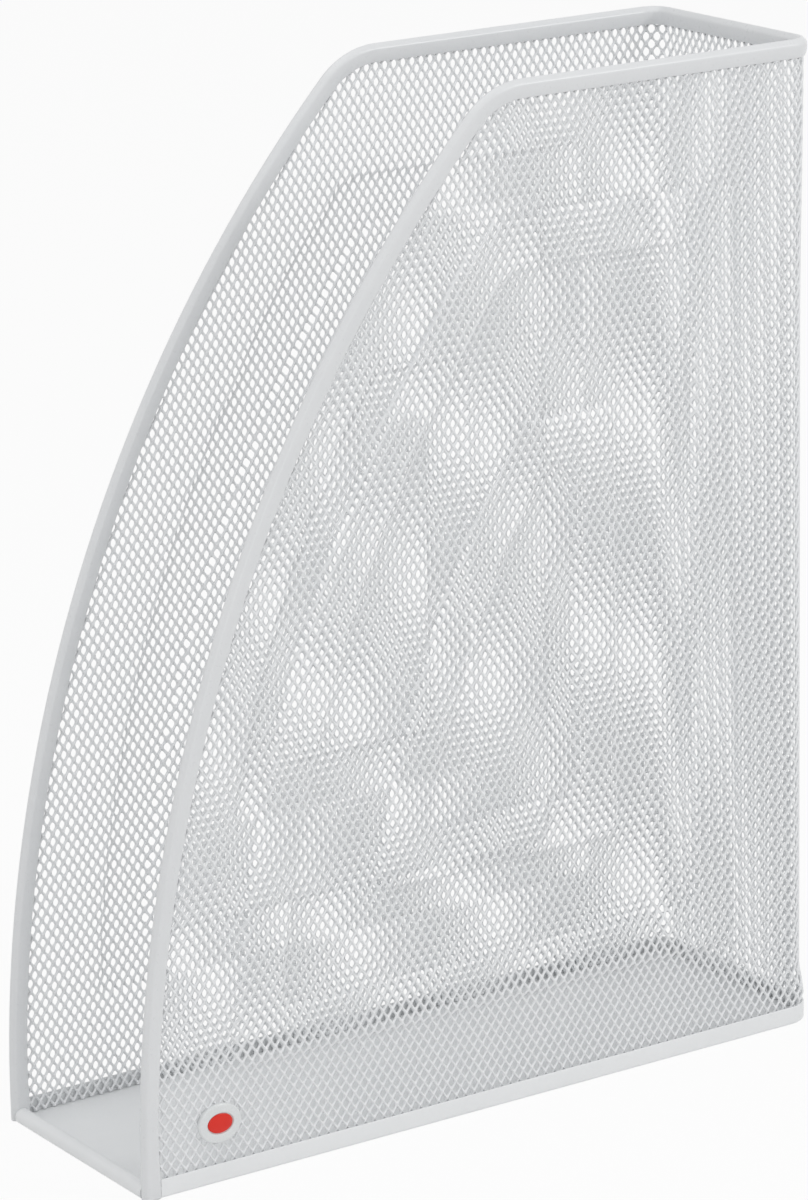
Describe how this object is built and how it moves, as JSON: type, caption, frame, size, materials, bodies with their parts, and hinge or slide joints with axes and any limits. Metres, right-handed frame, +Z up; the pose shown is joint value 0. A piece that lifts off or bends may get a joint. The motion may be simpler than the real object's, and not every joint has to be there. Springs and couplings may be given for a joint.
{
  "type": "mesh magazine holder",
  "caption": "Upright white steel mesh magazine holder with a curved open front, pressed side bands, a tube rim and a solid sheet base.",
  "frame": {"origin": "on the floor, under the middle of the holder's box", "axes": "+Z up; the low open front faces -Y and the upright back is at +Y; the badge is on the +X side"},
  "size_m": [0.0816, 0.2526, 0.32],
  "materials": {
    "white_mesh": "white powder coat, satin",
    "white_rim": "white powder coat, satin",
    "white_pan": "white powder coat, satin",
    "badge_ring": "smooth moulded",
    "badge_field": "smooth moulded, plain",
    "badge_back": "moulded"
  },
  "bodies": {
    "root": {"mesh_right": "white_mesh", "mesh_left": "white_mesh", "mesh_back": "white_mesh", "rim_tube": "white_rim", "base_pan": "white_pan", "badge_bezel": "badge_ring", "badge_insert": "badge_field", "badge_clip": "badge_back"}
  },
  "joints": []
}
